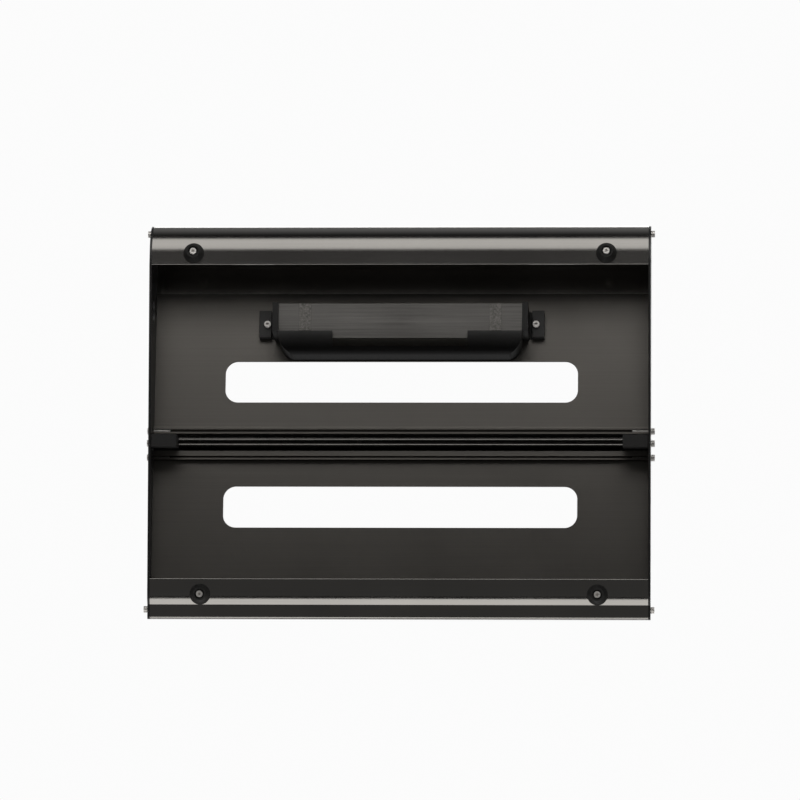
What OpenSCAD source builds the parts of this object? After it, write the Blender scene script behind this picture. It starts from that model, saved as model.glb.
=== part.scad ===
// Wedge-shaped pedalboard: two slotted deck plates on nose rails between end plates,
// with a power-supply cradle under the rear deck. Millimetres, +Z up, +Y rear, +X right.

/* [Frame] */
// Overall width over the two end plates
board_w = 532; // [480:2:600]
// Thickness of each end plate
plate_t = 2.5; // [2:0.5:3]
// Fall of the playing surface towards the front, in degrees
slope = 9.5; // [9.4:0.05:9.6]
// Radius of the large rear nose
nose_r = 35.6; // [35.2:0.1:36]
// Wall of the extruded rails and deck plates
wall = 3; // [2.5:0.25:3]
// Height of the frame's lower edge above the floor
lift = 9.2; // [8.8:0.2:10]

/* [Decks] */
// Length of the long slot in each deck
slot_len = 376; // [300:2:400]
// Width of the slots
slot_w = 45; // [40:0.5:46]
// Corner radius of the slots
slot_r = 13.5; // [8:0.5:18]

/* [Cable hole] */
// Diameter of the cable hole in the right end plate
cable_d = 25; // [18:0.5:26]

/* [Feet] */
// Diameter of a foot where it meets the rail
foot_top_d = 22; // [20:0.5:23]
// Diameter of a foot where it meets the floor
foot_tip_d = 13.7; // [13:0.1:15]
// Distance of the rear feet from the centre line
rear_foot_x = 219; // [190:1:225]
// Distance of the front feet from the centre line
front_foot_x = 210; // [190:1:225]

/* [Cradle] */
// Inside width between the cradle's cheeks
cradle_w = 259; // [240:1:270]
// Width of the notch in the trough's lip
notch_w = 143.6; // [100:1:160]

/* [Piece to draw] */
// Name of one piece, or all

/* [Hidden] */
$fn = 64;

sn = sin(slope);
cs = cos(slope);
outer_x = board_w / 2;
inner_x = outer_x - plate_t;
// Half length of the rails and decks, which stop just short of the end plates
rail_x = inner_x - 0.05;
// Height of the decks' underside on the centre line
under_z = lift + 41.2;

// Rounded edges stand this far proud of the flats they join, so that no faces graze
ease = 0.05;

// M4 hardware
shank_r = 2;
port_r = 2.05;
clear_r = 2.25;
head_r = 3.5;
head_h = 4;

// Positions along the slope (u) and square to it (w, zero on the decks' underside)
nose_u = 171.3;
nose_w = wall - nose_r;
rear_seam_u = 155;
ledge_u = 141.4;
rear_port = [196.4, -44.1];
rear_foot_u = 169.4;
rear_deck_u = -12.6;
front_deck_u = -31.2;
front_seam_u = -182.4;
rear_deck_port = [-9.3, -2.5];
front_deck_port = [-37.9, -1.6];
centre_port = [-23.2, -5.6];
block_len = 27.1;
slot_u_rear = 45.4;
slot_u_front = -91.1;

// Front nose, in (Y, height above the frame's lower edge)
land_y = -183;
bevel_y = -194.5;
bevel_z = 3.45;
// The land turns up into the bevel in steps of a few degrees
turn = [[-185.5, 0.18], [-188, 0.62], [-190.5, 1.34]];
front_y = -210;
front_r = (41.2 + wall / cs + front_y * sn / cs - bevel_z) * cs / (1 + cs - sn);
front_c = [front_y + front_r, bevel_z + front_r];
front_u = front_c[0] * cs + (front_c[1] - 41.2) * sn;
front_port = [-199.7, 7.05];
front_foot_y = -183.7;
rear_seat = 5.2;
front_seat = 4.5;

// Cradle
cheek_in = cradle_w / 2;
cheek_out = cheek_in + 6.2;
block_in = cheek_out + 3.5;
block_out = block_in + 13.1;
block_u0 = 92.2;
block_u1 = 121.6;
clamp_x = block_in + 4.2;
clamp_u = 106;
trough_c = [91.1, -24];
trough_r = 22;
trough_corner = 18;
shell = 1.5;
lip_u = 90.4;
notch_u = 75.1;
lid_w = -42.2;
lid_t = 1.2;
lid_u0 = 82.7;
lid_u1 = 121;
cheek_u0 = 90.2;
cheek_u1 = 121.5;
pad_x = 101.2;

// ---- placing helpers ----

// Extrudes a (Y, Z) outline along X
module along_x(x0, x1) {
  translate([x0, 0, 0])
    rotate([90, 0, 90])
      linear_extrude(x1 - x0) children();
}

// Draws an outline in (u, w) as (Y, Z)
module on_slope() {
  translate([0, under_z]) rotate(slope) children();
}

// Draws an outline in (Y, height above the frame's lower edge) as (Y, Z)
module on_base() {
  translate([0, lift]) children();
}

// Places a solid at (x, u) with its Z square to the deck
module at_slope(x, u) {
  translate([x, 0, under_z])
    rotate([slope, 0, 0])
      translate([0, u, 0]) children();
}

module span(x0, y0, x1, y1) {
  translate([x0, y0]) square([x1 - x0, y1 - y0]);
}

module both_sides() {
  children();
  mirror([1, 0, 0]) children();
}

// Socket cap screw: the head's underside at the origin, the shank along +Z
module cap_screw(len) {
  difference() {
    union() {
      translate([0, 0, -head_h]) cylinder(r = head_r, h = head_h);
      cylinder(r = shank_r, h = len);
    }
    translate([0, 0, -head_h - 1]) cylinder(r = 1.75, h = 3.9, $fn = 6);
  }
}

// Cap screw through the right end plate, pointing inwards
module end_screw(p, len) {
  translate([outer_x, p[0], p[1]])
    rotate([0, -90, 0]) cap_screw(len);
}

function slope_y(p) = p[0] * cs - p[1] * sn;
function slope_z(p) = under_z + p[0] * sn + p[1] * cs;
function slope_p(p) = [slope_y(p), slope_z(p)];
function base_p(p) = [p[0], lift + p[1]];

// ---- end plates ----

// Outline of the whole frame seen from the side
module side_outline() {
  c = slope_p([nose_u, nose_w]);
  top = slope_p([nose_u + 1, wall]);
  low = slope_p([nose_u + 1, nose_w - nose_r]);
  f = base_p(front_c);
  polygon([
    base_p([land_y, 0]), base_p([166, 0]), low, c, top,
    f + front_r * [-sn, cs] - 0.3 * [cs, sn], f, f - [0.3, front_r],
    base_p([bevel_y, bevel_z]), base_p(turn[2]), base_p(turn[1]), base_p(turn[0])]);
  translate(c) circle(r = nose_r + ease);
  translate(f) circle(r = front_r + ease);
}

module screw_holes(r) {
  for (p = [slope_p(rear_port), slope_p(rear_deck_port), slope_p(centre_port),
      slope_p(front_deck_port), base_p(front_port)])
    translate(p) circle(r = r);
}

module end_plate_left() {
  color("#1c1c1d")
    along_x(-outer_x, -inner_x)
      difference() {
        side_outline();
        screw_holes(clear_r);
      }
}

module end_plate_right() {
  color("#1c1c1d")
    along_x(inner_x, outer_x)
      difference() {
        side_outline();
        screw_holes(clear_r);
        translate(base_p([117, 29])) circle(d = cable_d);
      }
}

// ---- rails ----

module rear_rail_section() {
  difference() {
    union() {
      difference() {
        translate([nose_u, nose_w]) circle(r = nose_r + ease);
        translate([nose_u, nose_w]) circle(r = nose_r - wall - ease);
        span(nose_u - 2 * nose_r, nose_w - 2 * nose_r, nose_u, nose_w + 2 * nose_r);
      }
      span(rear_seam_u, 0, nose_u + 1, wall);
      span(ledge_u, -wall, rear_seam_u + 6, -0.05);
      span(rear_seam_u + 0.5, -1, rear_seam_u + 6, 1);
      span(158.7, nose_w - nose_r, nose_u + 1, nose_w - nose_r + wall);
      translate([158.5, nose_w - nose_r + wall / 2]) circle(r = wall / 2 + ease);
      translate(rear_port) circle(r = 5.4);
    }
    translate(rear_port) circle(r = port_r);
  }
}

module rear_nose_rail() {
  color("#2b2a29")
    difference() {
      along_x(-rail_x, rail_x) on_slope() rear_rail_section();
      both_sides()
        at_slope(rear_foot_x, rear_foot_u)
          translate([0, 0, nose_w - nose_r - 1]) cylinder(r = port_r, h = wall + 2);
    }
}

module front_rail_section() {
  union() {
    polygon([[-168, 0], [-168, 3], [-176, 3], [-178.5, 5.2], [-188.5, 5.2],
      [bevel_y, 6.6], [-195.5, 41.2 + 1.5 / cs - 195.5 * sn / cs],
      [-206, 41.2 + 1.5 / cs - 206 * sn / cs], front_c,
      front_c - [0.3, front_r], [bevel_y, bevel_z], turn[2], turn[1], turn[0],
      [land_y, 0]]);
    translate([-168.2, 1.5]) circle(r = 1.5 + ease);
    translate(front_c) circle(r = front_r + ease);
  }
}

module front_nose_rail() {
  color("#2b2a29")
    difference() {
      along_x(-rail_x, rail_x)
        difference() {
          union() {
            on_base() front_rail_section();
            on_slope() span(front_u - 0.3, 0, front_seam_u - 0.1, wall);
            on_slope() span(-188, -2.4, -171, -0.05);
            on_slope() span(-188, -1, front_seam_u - 0.6, 1);
          }
          translate(base_p(front_port)) circle(r = port_r);
        }
      both_sides()
        translate([front_foot_x, front_foot_y, lift - 1]) cylinder(r = port_r, h = 7.4);
    }
}

module finger(u0, u1) {
  polygon([[u0, 0.5], [u0, -8.5], [u0 + 0.3, -9.2], [u0 + 1, -9.5],
    [u1 - 1, -9.5], [u1 - 0.3, -9.2], [u1, -8.5], [u1, 0.5]]);
}

module centre_rail() {
  color("#2f2e2c")
    union() {
      along_x(-rail_x, rail_x)
        on_slope() span(front_deck_u + 0.1, 0, rear_deck_u - 0.1, wall);
      along_x(-(inner_x - block_len - 0.2), inner_x - block_len - 0.2)
        on_slope()
          difference() {
            union() {
              finger(-27.6, -24.2);
              finger(-22.2, -18.6);
              span(-27.6, -3.2, -18.6, 0.5);
            }
            translate(centre_port) circle(r = port_r);
          }
    }
}

module centre_block() {
  y0 = -27.2;
  y1 = -14.2;
  top = 41.1;
  along_x(inner_x - block_len, inner_x - 0.1)
    difference() {
      on_base()
        polygon([[y0, 1], [y1, 1], [y1, top + y1 * sn / cs], [y0, top + y0 * sn / cs]]);
      translate(slope_p(centre_port)) circle(r = 2.15);
    }
}

module centre_block_right() {
  color("#242425") centre_block();
}

module centre_block_left() {
  color("#242425") mirror([1, 0, 0]) centre_block();
}

// ---- decks ----

module slot_cut(u) {
  at_slope(0, u)
    translate([0, 0, -2])
      linear_extrude(wall + 4)
        union() {
          square([slot_len, slot_w - 2 * slot_r], center = true);
          square([slot_len - 2 * slot_r, slot_w], center = true);
          for (x = [-1, 1], y = [-1, 1])
            translate([x * (slot_len / 2 - slot_r), y * (slot_w / 2 - slot_r)])
              circle(r = slot_r);
        }
}

// Quarter-round web between a port boss and the plate
module web(u, r, side) {
  difference() {
    span(min(u, u + side * r), -r, max(u, u + side * r), 0.2);
    translate([u + side * r, -r]) circle(r = r + ease);
  }
}

// Open screw port along the edge of a deck: u0 and u1 bound its boss
module port_boss(u0, u1, p, slit = 2) {
  difference() {
    span(u0, -5.4, u1, 0.5);
    translate(p) circle(r = port_r);
    span(p[0] - slit / 2, -6, p[0] + slit / 2, p[1]);
  }
}

module rear_deck() {
  color("#4a4641")
    difference() {
      along_x(-rail_x, rail_x)
        on_slope()
          union() {
            difference() {
              span(rear_deck_u, 0, rear_seam_u - 0.1, wall);
              translate(rear_deck_port) circle(r = port_r);
            }
            port_boss(rear_deck_u, -5.8, rear_deck_port, 2.6);
            web(-5.8, 2.8, 1);
          }
      slot_cut(slot_u_rear);
      both_sides()
        at_slope(clamp_x, clamp_u)
          translate([0, 0, -1]) cylinder(r = port_r, h = wall + 2);
    }
}

module front_deck() {
  color("#474440")
    difference() {
      along_x(-rail_x, rail_x)
        on_slope()
          union() {
            difference() {
              span(front_seam_u, 0, front_deck_u, wall);
              translate(front_deck_port) circle(r = port_r);
            }
            port_boss(-40.9, front_deck_u, front_deck_port);
          }
      slot_cut(slot_u_front);
    }
}

// ---- end screws ----

module nose_end_screws() {
  color("#c9c7c2")
    both_sides() {
      end_screw(slope_p(rear_port), 20);
      end_screw(base_p(front_port), 20);
    }
}

module deck_port_screws() {
  color("#c9c7c2")
    both_sides() {
      end_screw(slope_p(rear_deck_port), 20);
      end_screw(slope_p(front_deck_port), 20);
    }
}

module centre_rail_screws() {
  color("#c9c7c2") both_sides() end_screw(slope_p(centre_port), 28);
}

// ---- feet ----

// Rubber foot hanging below the origin. The screw head sits in it, seat above the floor
module foot(drop, rise, seat) {
  r1 = foot_tip_d / 2;
  r0 = foot_top_d / 2;
  low = r1 - 2 * (r0 - r1) / drop;
  rotate_extrude()
    polygon([[2.15, rise], [2.15, seat - drop], [4.9, seat - drop], [4.9, -drop - 2],
      [low, -drop - 2], [r0, 0], [r0, rise]]);
}

rear_drop = slope_z([rear_foot_u, nose_w - nose_r]) / cs;

// The foot's top is hollowed to lie along the nose
module rear_foot(x) {
  r = nose_r + 0.12;
  difference() {
    at_slope(x, rear_foot_u)
      translate([0, 0, nose_w - nose_r]) foot(rear_drop, 2.6, rear_seat);
    along_x(x - 20, x + 20)
      on_slope()
        polygon(concat([[nose_u - 20, nose_w - r]],
          [for (a = [0:4:32]) [nose_u + r * sin(a), nose_w - r * cos(a)]],
          [[nose_u + 20, nose_w], [nose_u - 20, nose_w]]));
    translate([x - 20, 150, -10]) cube([40, 60, 10]);
  }
}

module rear_foot_right() {
  color("#151515") rear_foot(rear_foot_x);
}

module rear_foot_left() {
  color("#151515") mirror([1, 0, 0]) rear_foot(rear_foot_x);
}

module front_foot(x) {
  difference() {
    translate([x, front_foot_y, lift]) foot(lift, 3.4, front_seat);
    along_x(x - 20, x + 20)
      on_base()
        polygon([[-160, -0.05], [-160, 30], [-212, 30], [-212, bevel_z - 0.05],
          [bevel_y, bevel_z - 0.05], turn[2] - [0, 0.05], turn[1] - [0, 0.05],
          turn[0] - [0, 0.05], [land_y, -0.05]]);
    translate([x - 20, -210, -10]) cube([40, 60, 10]);
  }
}

module front_foot_right() {
  color("#151515") front_foot(front_foot_x);
}

module front_foot_left() {
  color("#151515") mirror([1, 0, 0]) front_foot(front_foot_x);
}

module rear_foot_screws() {
  color("#b9b7b2")
    both_sides()
      at_slope(rear_foot_x, rear_foot_u)
        translate([0, 0, nose_w - nose_r - rear_drop + rear_seat])
          cap_screw(rear_drop + 3.6 - rear_seat);
}

module front_foot_screws() {
  color("#b9b7b2")
    both_sides()
      translate([front_foot_x, front_foot_y, front_seat]) cap_screw(lift + 5.4 - front_seat);
}

// ---- cradle ----

// Outside of the trough in (u, w), cut off at its lower lip
module trough_outside() {
  difference() {
    translate(trough_c) circle(r = trough_r + ease);
    span(lip_u, -60, 140, 20);
    span(40, trough_c[1], 140, 20);
  }
  span(trough_c[0] - trough_r, trough_c[1] - 1, lip_u, -0.05);
}

// Space inside the trough, leaving a flange that lies against the deck
module trough_inside() {
  translate(trough_c) circle(r = trough_r - ease - shell);
  span(trough_c[0] - trough_r + shell, trough_c[1], 140, -shell);
  span(84, trough_c[1], 140, 10);
}

// The trough's plan, with its two front corners rounded, shrunk by c
module trough_plan(c) {
  half = cheek_in - 0.1 - c;
  r = trough_corner - c;
  u0 = trough_c[0] - trough_r - 0.3 + c;
  at_slope(0, 0)
    translate([0, 0, -60])
      linear_extrude(80)
        union() {
          span(-half, u0 + r, half, 150);
          span(-(half - r), u0, half - r, 140);
          translate([half - r, u0 + r]) circle(r = r + ease);
          translate([r - half, u0 + r]) circle(r = r + ease);
        }
}

module cradle_trough() {
  color("#26251f")
    difference() {
      intersection() {
        along_x(-140, 140) on_slope() trough_outside();
        trough_plan(0);
      }
      intersection() {
        along_x(-140, 140) on_slope() trough_inside();
        trough_plan(shell);
      }
      along_x(-notch_w / 2, notch_w / 2) on_slope() span(notch_u, -50, 110, -25);
    }
}

// Sliding lid: a thin plate running in the cheeks, with a return along its rear edge
module cradle_plate() {
  color("#45423b")
    union() {
      along_x(-(cheek_in + 1.7), cheek_in + 1.7)
        on_slope() span(cheek_u0 + 0.6, lid_w, lid_u1, lid_w + lid_t);
      along_x(-(cheek_in - 3.5), cheek_in - 3.5)
        on_slope() span(lid_u0, lid_w, cheek_u0 + 1, lid_w + lid_t);
      along_x(-(cheek_in - 0.3), cheek_in - 0.3)
        on_slope() span(lid_u1 - lid_t, lid_w + 0.1, lid_u1, lid_w + 7);
    }
}

module cradle_cheek() {
  difference() {
    union() {
      along_x(cheek_in, cheek_out) on_slope() span(cheek_u0, -46.5, cheek_u1, -0.05);
      along_x(cheek_out - 0.5, block_out)
        on_slope() span(block_u0, -1.5, block_u1, -0.05);
    }
    along_x(cheek_in - 1, cheek_in + 2)
      on_slope() span(cheek_u0 - 1, lid_w - 0.15, 130, lid_w + lid_t + 0.15);
    at_slope(clamp_x, clamp_u)
      translate([0, 0, -3]) cylinder(r = 2.15, h = 4);
  }
}

module cradle_cheek_right() {
  color("#101010") cradle_cheek();
}

module cradle_cheek_left() {
  color("#101010") mirror([1, 0, 0]) cradle_cheek();
}

module clamp_block() {
  difference() {
    along_x(block_in, block_out)
      on_slope() span(block_u0, -9, block_u1, -1.55);
    at_slope(clamp_x, clamp_u)
      translate([0, 0, -10]) cylinder(r = 2.15, h = 12);
  }
}

module clamp_block_right() {
  color("#2a2927") clamp_block();
}

module clamp_block_left() {
  color("#2a2927") mirror([1, 0, 0]) clamp_block();
}

module clamp_screws() {
  color("#c9c7c2")
    both_sides()
      at_slope(clamp_x, clamp_u)
        translate([0, 0, -9.02]) cap_screw(9.02 + wall - 0.4);
}

module cradle_pad() {
  along_x(pad_x - 6.25, pad_x + 6.25)
    on_slope() span(91.3, lid_w - 1, 120.7, lid_w - 0.02);
}

module cradle_pad_right() {
  color("#55524a") cradle_pad();
}

module cradle_pad_left() {
  color("#55524a") mirror([1, 0, 0]) cradle_pad();
}

// ---- the assembly ----

end_plate_right();
end_plate_left();
rear_nose_rail();
front_nose_rail();
rear_deck();
front_deck();
centre_rail();
centre_block_right();
centre_block_left();
nose_end_screws();
deck_port_screws();
centre_rail_screws();
rear_foot_right();
rear_foot_left();
front_foot_right();
front_foot_left();
rear_foot_screws();
front_foot_screws();
cradle_trough();
cradle_plate();
cradle_cheek_right();
cradle_cheek_left();
clamp_block_right();
clamp_block_left();
clamp_screws();
cradle_pad_right();
cradle_pad_left();
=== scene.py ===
import math

import bpy
from mathutils import Matrix, Vector

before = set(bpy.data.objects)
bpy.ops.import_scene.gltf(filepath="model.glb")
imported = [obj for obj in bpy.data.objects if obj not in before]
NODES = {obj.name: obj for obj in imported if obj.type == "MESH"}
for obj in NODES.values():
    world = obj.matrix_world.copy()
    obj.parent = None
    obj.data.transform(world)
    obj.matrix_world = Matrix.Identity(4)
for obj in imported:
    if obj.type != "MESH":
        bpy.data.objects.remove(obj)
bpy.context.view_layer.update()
SCREWS = ("nose_end_screws", "deck_port_screws", "centre_rail_screws",
          "rear_foot_screws", "front_foot_screws", "clamp_screws")


# ---- node helpers ----

class Graph:
    """A short way to build one material's nodes."""

    def __init__(self, name):
        self.mat = bpy.data.materials.new(name)
        self.mat.use_nodes = True
        self.tree = self.mat.node_tree
        self.bsdf = self.tree.nodes["Principled BSDF"]
        self.place = self.add("ShaderNodeTexCoord").outputs["Object"]

    def add(self, kind, **values):
        node = self.tree.nodes.new(kind)
        for key, value in values.items():
            setattr(node, key, value)
        return node

    def link(self, a, b):
        self.tree.links.new(a, b)

    def set(self, **values):
        for key, value in values.items():
            self.bsdf.inputs[key.replace("_", " ")].default_value = value

    def stretched(self, scale):
        """Object coordinates scaled on each axis."""
        node = self.add("ShaderNodeMapping")
        node.inputs["Scale"].default_value = scale
        self.link(self.place, node.inputs["Vector"])
        return node.outputs["Vector"]

    def noise(self, scale, detail=4.0, rough=0.55, stretch=(1, 1, 1)):
        node = self.add("ShaderNodeTexNoise")
        node.inputs["Scale"].default_value = scale
        node.inputs["Detail"].default_value = detail
        node.inputs["Roughness"].default_value = rough
        self.link(self.stretched(stretch), node.inputs["Vector"])
        return node.outputs["Fac"]

    def remap(self, value, lo, hi, a, b):
        node = self.add("ShaderNodeMapRange")
        for key, v in (("From Min", lo), ("From Max", hi), ("To Min", a), ("To Max", b)):
            node.inputs[key].default_value = v
        self.link(value, node.inputs["Value"])
        return node.outputs["Result"]

    def math(self, how, a, b):
        node = self.add("ShaderNodeMath", operation=how)
        for i, v in enumerate((a, b)):
            if isinstance(v, (int, float)):
                node.inputs[i].default_value = v
            else:
                self.link(v, node.inputs[i])
        return node.outputs["Value"]

    def ramp(self, value, stops):
        node = self.add("ShaderNodeValToRGB")
        while len(node.color_ramp.elements) < len(stops):
            node.color_ramp.elements.new(0.5)
        for e, (at, colour) in zip(node.color_ramp.elements, stops):
            e.position = at
            e.color = (*colour, 1)
        self.link(value, node.inputs["Fac"])
        return node.outputs["Color"]

    def bump(self, height, distance, strength=1.0, after=None):
        node = self.add("ShaderNodeBump")
        node.inputs["Strength"].default_value = strength
        node.inputs["Distance"].default_value = distance
        self.link(height, node.inputs["Height"])
        if after is not None:
            self.link(after, node.inputs["Normal"])
        return node.outputs["Normal"]

    def wire(self, colour=None, rough=None, normal=None):
        if colour is not None:
            self.link(colour, self.bsdf.inputs["Base Color"])
        if rough is not None:
            self.link(rough, self.bsdf.inputs["Roughness"])
        if normal is not None:
            self.link(normal, self.bsdf.inputs["Normal"])
        return self.mat


def tone(value, warm=0.0):
    """A grey, a little warmer as warm grows."""
    return (value * (1 + warm), value, value * (1 - 1.4 * warm))


# ---- materials ----

def anodised(name, dark, light, warm, rough, grain=0.5):
    """Bead-blasted black anodised aluminium: fine grain, faint drawing lines, cloudy tone."""
    g = Graph(name)
    g.set(Metallic=1.0)
    cloud = g.noise(9.0, 5.0)
    lines = g.noise(1.0, 3.0, 0.6, (4.0, 900.0, 900.0))
    mixed = g.math("ADD", g.math("MULTIPLY", cloud, 0.65), g.math("MULTIPLY", lines, 0.35))
    colour = g.ramp(mixed, [(0.32, tone(dark, warm)), (0.68, tone(light, warm))])
    speck = g.noise(2600.0, 2.0, 0.6)
    low, high = rough
    grit = g.math("ADD", cloud, g.math("MULTIPLY", speck, 0.3))
    roughness = g.remap(grit, 0.45, 0.85, low, high)
    normal = g.bump(speck, 0.00004, grain)
    normal = g.bump(lines, 0.00006, 0.25 * grain, normal)
    return g.wire(colour, roughness, normal)


def powder_coat(name, dark, light, rough):
    """Satin powder coat: fine orange peel over a near-black base."""
    g = Graph(name)
    g.set(Metallic=0.0, IOR=1.5)
    peel = g.noise(900.0, 3.0, 0.5)
    cloud = g.noise(14.0, 4.0)
    colour = g.ramp(cloud, [(0.3, tone(dark)), (0.7, tone(light))])
    roughness = g.remap(peel, 0.3, 0.7, rough - 0.06, rough + 0.06)
    return g.wire(colour, roughness, g.bump(peel, 0.00012, 0.35))


def brushed(name, dark, light):
    """Dark anodised plate, brushed along X with streaks of several widths."""
    g = Graph(name)
    g.set(Metallic=0.75, Anisotropic=0.55)
    fine = g.noise(1.0, 6.0, 0.7, (14.0, 2600.0, 2600.0))
    broad = g.noise(1.0, 4.0, 0.65, (7.0, 420.0, 420.0))
    cloud = g.noise(11.0, 3.0)
    streak = g.math("ADD", g.math("MULTIPLY", fine, 0.5), g.math("MULTIPLY", broad, 0.5))
    tint = g.math("ADD", g.math("MULTIPLY", streak, 0.85), g.math("MULTIPLY", cloud, 0.15))
    colour = g.ramp(tint, [(0.36, tone(dark, 0.03)), (0.64, tone(light, 0.03))])
    roughness = g.remap(streak, 0.35, 0.65, 0.36, 0.56)
    return g.wire(colour, roughness, g.bump(streak, 0.00010, 0.6))


def rubber(name):
    """Moulded black rubber: faint mottle and dust on the tops of its pits."""
    g = Graph(name)
    g.set(Metallic=0.0, IOR=1.5)
    pits = g.noise(700.0, 4.0, 0.6)
    dust = g.noise(60.0, 5.0, 0.65)
    colour = g.ramp(dust, [(0.35, tone(0.010)), (0.72, tone(0.026, 0.03))])
    roughness = g.remap(pits, 0.3, 0.7, 0.55, 0.8)
    return g.wire(colour, roughness, g.bump(pits, 0.00015, 0.5))


def plastic(name, dark, light):
    """Moulded black plastic with a fine spark-eroded grain."""
    g = Graph(name)
    g.set(Metallic=0.0, IOR=1.46)
    grain = g.noise(1500.0, 3.0, 0.6)
    cloud = g.noise(20.0, 3.0)
    colour = g.ramp(cloud, [(0.3, tone(dark)), (0.7, tone(light))])
    roughness = g.remap(grain, 0.3, 0.7, 0.48, 0.66)
    return g.wire(colour, roughness, g.bump(grain, 0.00008, 0.5))


def zinc(name, dark, light):
    """Zinc-plated steel: mottled plating with fine turning marks."""
    g = Graph(name)
    g.set(Metallic=0.45)
    mottle = g.noise(420.0, 5.0, 0.6)
    turn = g.noise(3200.0, 2.0, 0.6)
    colour = g.ramp(mottle, [(0.3, tone(dark, 0.03)), (0.7, tone(light, 0.02))])
    grit = g.math("ADD", mottle, g.math("MULTIPLY", turn, 0.4))
    roughness = g.remap(grit, 0.5, 0.9, 0.34, 0.55)
    return g.wire(colour, roughness, g.bump(turn, 0.00003, 0.4))


def pile(name):
    """Loops of a hook-and-loop strip: pale fibres over a darker backing."""
    g = Graph(name)
    g.set(Metallic=0.0)
    fibre = g.noise(1.0, 4.0, 0.7, (5200.0, 1500.0, 1500.0))
    clump = g.noise(420.0, 3.0, 0.6)
    mixed = g.math("ADD", g.math("MULTIPLY", fibre, 0.5), g.math("MULTIPLY", clump, 0.5))
    colour = g.ramp(mixed, [(0.36, tone(0.08, 0.03)), (0.64, tone(0.34, 0.04))])
    roughness = g.remap(fibre, 0.3, 0.7, 0.75, 0.95)
    return g.wire(colour, roughness, g.bump(mixed, 0.0002, 0.8))


def make_materials():
    return {
        "plate": powder_coat("plate_black", 0.014, 0.022, 0.42),
        "rail": anodised("rail_black", 0.33, 0.38, 0.03, (0.17, 0.21), 0.15),
        "deck": anodised("deck_black", 0.165, 0.205, 0.05, (0.46, 0.58), 0.5),
        "centre": anodised("centre_black", 0.13, 0.17, 0.03, (0.22, 0.30), 0.2),
        "block": powder_coat("block_black", 0.022, 0.034, 0.5),
        "trough": powder_coat("trough_black", 0.034, 0.048, 0.5),
        "lid": brushed("lid_brushed", 0.085, 0.20),
        # The cheeks' near-black colour, far darker than real black plastic, is painted shade: it
        # stands in for the shadowed recess beside the lid.
        "cheek": plastic("cheek_black", 0.004, 0.008),
        "rubber": rubber("foot_rubber"),
        "screw": zinc("screw_steel", 0.76, 0.94),
        "pile": pile("pad_hook"),
    }


# ---- the carried-over pieces ----

def smoothing_group(angle=24):
    """Node group that welds a mesh, smooths it, and keeps edges over the angle sharp."""
    group = bpy.data.node_groups.new("smooth_by_angle", "GeometryNodeTree")
    group.interface.new_socket("Geometry", in_out="INPUT", socket_type="NodeSocketGeometry")
    group.interface.new_socket("Geometry", in_out="OUTPUT", socket_type="NodeSocketGeometry")
    start, end = group.nodes.new("NodeGroupInput"), group.nodes.new("NodeGroupOutput")
    weld = group.nodes.new("GeometryNodeMergeByDistance")
    weld.inputs["Distance"].default_value = 0.000002
    smooth = group.nodes.new("GeometryNodeSetShadeSmooth")
    sharp = group.nodes.new("GeometryNodeSetShadeSmooth")
    sharp.domain = "EDGE"
    sharp.inputs["Shade Smooth"].default_value = False
    edge = group.nodes.new("GeometryNodeInputMeshEdgeAngle")
    over = group.nodes.new("FunctionNodeCompare")
    over.inputs["B"].default_value = math.radians(angle)
    group.links.new(edge.outputs["Unsigned Angle"], over.inputs["A"])
    group.links.new(over.outputs["Result"], sharp.inputs["Selection"])
    chain = [start.outputs[0], weld, smooth, sharp]
    for a, b in zip(chain, chain[1:]):
        out = a if a is chain[0] else a.outputs[0]
        group.links.new(out, b.inputs["Geometry"])
    group.links.new(sharp.outputs[0], end.inputs[0])
    return group


SMOOTH = smoothing_group()


def dress(name, material, width=0.0004, segments=2, angle=35):
    """Gives a CAD piece its finish, and its edges the small radius of the real one."""
    o = NODES[name]
    o.data.materials.clear()
    o.data.materials.append(material)
    o.modifiers.new("smooth", "NODES").node_group = SMOOTH
    if width:
        m = o.modifiers.new("edge", "BEVEL")
        m.width = width
        m.segments = segments
        m.limit_method = "ANGLE"
        m.angle_limit = math.radians(angle)
        m.harden_normals = False
        m.use_clamp_overlap = True
    even = o.modifiers.new("even", "WEIGHTED_NORMAL")
    even.keep_sharp = True
    even.mode = "FACE_AREA_WITH_ANGLE"
    return o


def dress_all(mats):
    for side in ("right", "left"):
        dress("end_plate_" + side, mats["plate"], 0.0003)
        dress("centre_block_" + side, mats["block"], 0.0006, 3)
        dress("rear_foot_" + side, mats["rubber"], 0.0004)
        dress("front_foot_" + side, mats["rubber"], 0.0004)
        dress("cradle_cheek_" + side, mats["cheek"], 0.0003)
        dress("clamp_block_" + side, mats["block"], 0.0005, 3)
    dress("rear_nose_rail", mats["rail"], 0)
    dress("front_nose_rail", mats["rail"], 0.0002)
    dress("rear_deck", mats["deck"], 0.0004)
    dress("front_deck", mats["deck"], 0.0003)
    dress("centre_rail", mats["centre"], 0.0005, 3)
    for name in SCREWS:
        dress(name, mats["screw"], 0.00025)
    dress("cradle_trough", mats["trough"], 0.0004)
    dress("cradle_plate", mats["lid"], 0.00055, 3)
    dress("cradle_pad_right", mats["pile"], 0)
    dress("cradle_pad_left", mats["pile"], 0)


# ---- stage, light and camera ----

def area_light(name, aim, power, colour, size):
    """A softbox at the first point of aim, facing the second, size metres wide and high."""
    middle, target = Vector(aim[0]), Vector(aim[1])
    data = bpy.data.lights.new(name, "AREA")
    data.shape = "RECTANGLE"
    data.size, data.size_y = size
    data.energy = power
    data.color = colour
    lamp = bpy.data.objects.new(name, data)
    bpy.context.scene.collection.objects.link(lamp)
    lamp.location = middle
    away = (middle - target).normalized()
    side = Vector((1, 0, 0))
    up = away.cross(side).normalized()
    lamp.matrix_world = Matrix.Translation(middle) @ Matrix((side, up, away)).transposed().to_4x4()
    lamp.visible_camera = False
    return lamp


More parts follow.
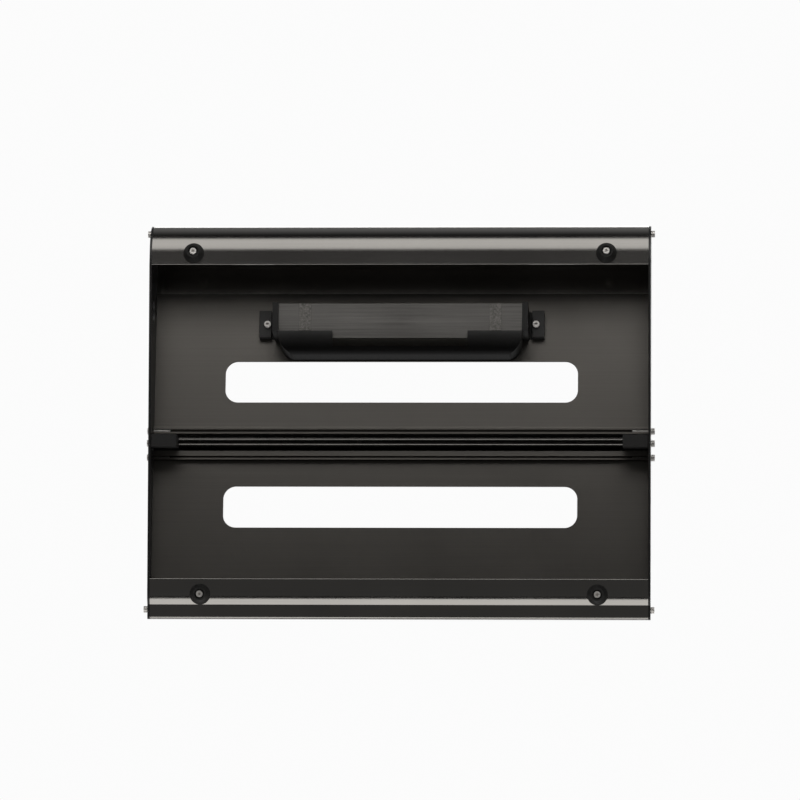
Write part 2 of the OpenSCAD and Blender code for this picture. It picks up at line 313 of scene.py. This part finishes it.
def light_only(lamp, pieces):
    """The lamp lights nothing but these pieces."""
    lit = bpy.data.collections.new(lamp.name + "_lit")
    for o in pieces:
        lit.objects.link(o)
    lamp.light_linking.receiver_collection = lit


def keep_off(lamp, *names):
    """The lamp lights the floor and every piece but these, as a flag in front of it would."""
    pieces = [o for name, o in NODES.items() if name not in names]
    light_only(lamp, pieces + [bpy.data.objects["floor"]])


def make_lights():
    warm = (1, 0.985, 0.96)
    nose = (0, 0.2, -0.03)
    area_light("softbox", ((0, 0.752, -0.372), nose), 3.7, warm, (2.4, 0.45))
    lower = area_light("softbox_lower", ((0, 0.60, -0.56), (0, 0.20, 0.03)), 0.43, warm, (2.4, 0.34))
    lower.data.spread = math.radians(46)
    keep_off(lower, "rear_nose_rail", "front_nose_rail")
    bounce = area_light("floor_bounce", ((0, -0.42, -0.20), (0, 0.4, 0.05)), 1.5, warm, (1.6, 0.24))
    keep_off(bounce, "rear_deck", "front_deck", "centre_rail", "cradle_trough", "cradle_plate")
    glow = area_light("floor_glow", ((0, 0.30, -1.4), (0, 0.3, 0)), 0.85, warm, (2.4, 1.8))
    keep_off(glow, "centre_rail", *SCREWS)
    area_light("top_box", ((0, 0.5, 2.0), (0, 0, 0)), 26, (1, 1, 1), (2.2, 1.6))
    fill = area_light("front_fill", ((0, -2.4, 1.2), (0, 0, 0)), 12, (1, 1, 1), (2.0, 1.2))
    keep_off(fill, "cradle_trough")
    sweep = area_light("floor_wash", ((0, 0.0, 2.6), (0, 0.1, 0)), 60, (1, 1, 1), (3.4, 3.4))
    light_only(sweep, [bpy.data.objects["floor"]])


def make_world():
    """White behind the object for the camera; above the floor's level a soft glow, below it dark."""
    world = bpy.data.worlds.new("studio")
    bpy.context.scene.world = world
    world.use_nodes = True
    tree = world.node_tree
    back = tree.nodes["Background"]
    back.inputs["Color"].default_value = (1, 1, 1, 1)
    back.inputs["Strength"].default_value = 0.97
    place = tree.nodes.new("ShaderNodeTexCoord")
    split = tree.nodes.new("ShaderNodeSeparateXYZ")
    height = tree.nodes.new("ShaderNodeMapRange")
    for key, v in (("From Min", 0.0), ("From Max", 0.5), ("To Min", 0.004), ("To Max", 0.20)):
        height.inputs[key].default_value = v
    glow = tree.nodes.new("ShaderNodeBackground")
    glow.inputs["Color"].default_value = (1, 1, 1, 1)
    path = tree.nodes.new("ShaderNodeLightPath")
    mix = tree.nodes.new("ShaderNodeMixShader")
    tree.links.new(place.outputs["Generated"], split.inputs["Vector"])
    tree.links.new(split.outputs["Z"], height.inputs["Value"])
    tree.links.new(height.outputs["Result"], glow.inputs["Strength"])
    tree.links.new(path.outputs["Is Camera Ray"], mix.inputs["Fac"])
    tree.links.new(glow.outputs["Background"], mix.inputs[1])
    tree.links.new(back.outputs["Background"], mix.inputs[2])
    tree.links.new(mix.outputs["Shader"], tree.nodes["World Output"].inputs["Surface"])


def make_floor():
    """A pale floor under the feet, seen only from above so that it never hides the underside."""
    mesh = bpy.data.meshes.new("floor")
    h = 4.0
    mesh.from_pydata([(-h, -h, 0), (h, -h, 0), (h, h, 0), (-h, h, 0)], [], [(0, 1, 2, 3)])
    floor = bpy.data.objects.new("floor", mesh)
    bpy.context.scene.collection.objects.link(floor)
    mat = bpy.data.materials.new("floor")
    mat.use_nodes = True
    tree = mat.node_tree
    bsdf = tree.nodes["Principled BSDF"]
    bsdf.inputs["Base Color"].default_value = (0.8, 0.8, 0.79, 1)
    bsdf.inputs["Roughness"].default_value = 0.8
    geo = tree.nodes.new("ShaderNodeNewGeometry")
    clear = tree.nodes.new("ShaderNodeBsdfTransparent")
    mix = tree.nodes.new("ShaderNodeMixShader")
    tree.links.new(geo.outputs["Backfacing"], mix.inputs["Fac"])
    tree.links.new(bsdf.outputs["BSDF"], mix.inputs[1])
    tree.links.new(clear.outputs["BSDF"], mix.inputs[2])
    tree.links.new(mix.outputs["Shader"], tree.nodes["Material Output"].inputs["Surface"])
    mesh.materials.append(mat)
    for ray in ("shadow", "diffuse", "glossy", "transmission"):
        setattr(floor, "visible_" + ray, False)
    floor.location.z = -0.0005


def make_camera(yaw=2.97, pitch=4.05, roll=0.23, distance=6.5, lens=276.6):
    """Looks up at the underside, square to it but for a few degrees, with the rear nose on top."""
    a, b = math.radians(yaw), math.radians(pitch)
    back = Vector((-math.sin(a) * math.cos(b), -math.sin(b), -math.cos(a) * math.cos(b)))
    right = Vector((-math.cos(a), 0, math.sin(a)))
    up = back.cross(right)
    right, up = right + up * math.radians(roll), up - right * math.radians(roll)
    data = bpy.data.cameras.new("camera")
    data.lens, data.sensor_width = lens, 36.0
    data.clip_end = 50
    cam = bpy.data.objects.new("camera", data)
    bpy.context.scene.collection.objects.link(cam)
    centre = Vector((0, 0, 0.0092))
    spot = centre + back * distance + up * 0.0220 + right * 0.0011
    cam.matrix_world = Matrix.Translation(spot) @ Matrix((right, up, back)).transposed().to_4x4()
    bpy.context.scene.camera = cam


def main():
    make_camera()
    make_world()
    make_floor()
    make_lights()
    bpy.context.scene.view_settings.view_transform = "Standard"
    dress_all(make_materials())


main()
